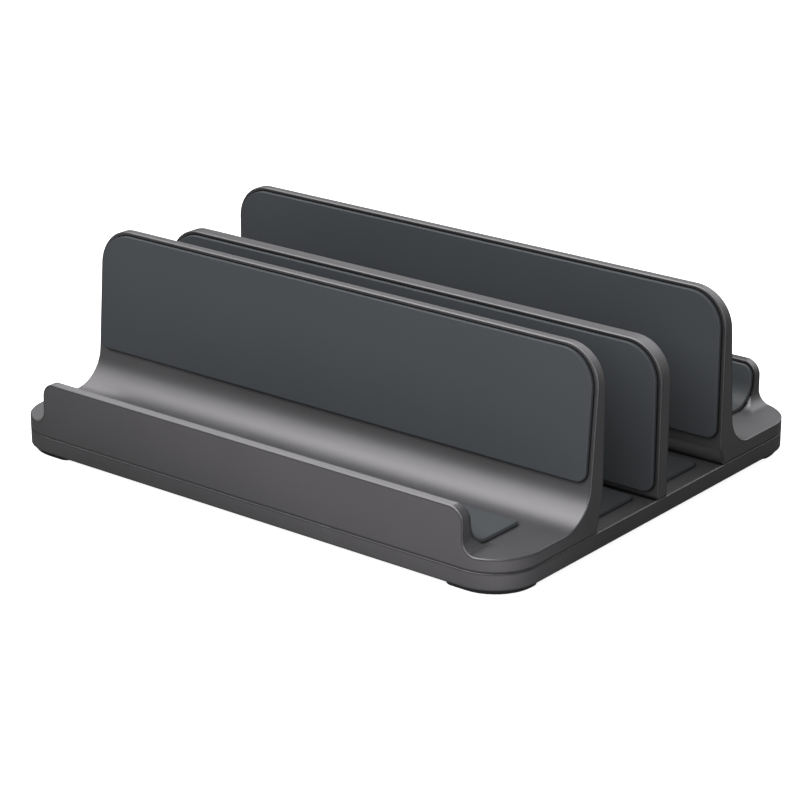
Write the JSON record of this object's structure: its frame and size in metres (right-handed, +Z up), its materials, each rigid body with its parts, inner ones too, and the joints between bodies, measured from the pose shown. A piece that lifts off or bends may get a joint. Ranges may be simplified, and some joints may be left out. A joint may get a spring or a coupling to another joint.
{
  "type": "vertical laptop stand",
  "caption": "Vertical laptop stand: upright padded walls on a base plate form slots for closed laptops, with a lipped tray along the front edge and along the rear edge.",
  "frame": {"origin": "centre of the bounding box in plan, at the level of the soles of the feet", "axes": "+X along the walls and slots, +Y from the front lip to the rear lip, +Z up"},
  "size_m": [0.2006, 0.1616, 0.0649],
  "materials": {
    "anodised_aluminium": "dark grey bead-blasted anodising, satin",
    "silicone": "matte",
    "foot_rubber": "matte",
    "screw_steel": "satin"
  },
  "bodies": {
    "root": {"base_plate": "anodised_aluminium", "front_ledge": "anodised_aluminium", "middle_wall": "anodised_aluminium", "rear_ledge": "anodised_aluminium", "front_wall_pad_front": "silicone", "front_wall_pad_rear": "silicone", "middle_wall_pad_front": "silicone", "middle_wall_pad_rear": "silicone", "rear_wall_pad_front": "silicone", "rear_wall_pad_rear": "silicone", "front_tray_liner": "silicone", "rear_tray_liner": "silicone", "slot_floor_pad_front": "silicone", "slot_floor_pad_rear": "silicone", "foot_front_left": "foot_rubber", "foot_front_right": "foot_rubber", "foot_rear_left": "foot_rubber", "foot_rear_right": "foot_rubber", "front_ledge_screws": "screw_steel", "middle_wall_screws": "screw_steel", "rear_ledge_screws": "screw_steel"}
  },
  "joints": []
}
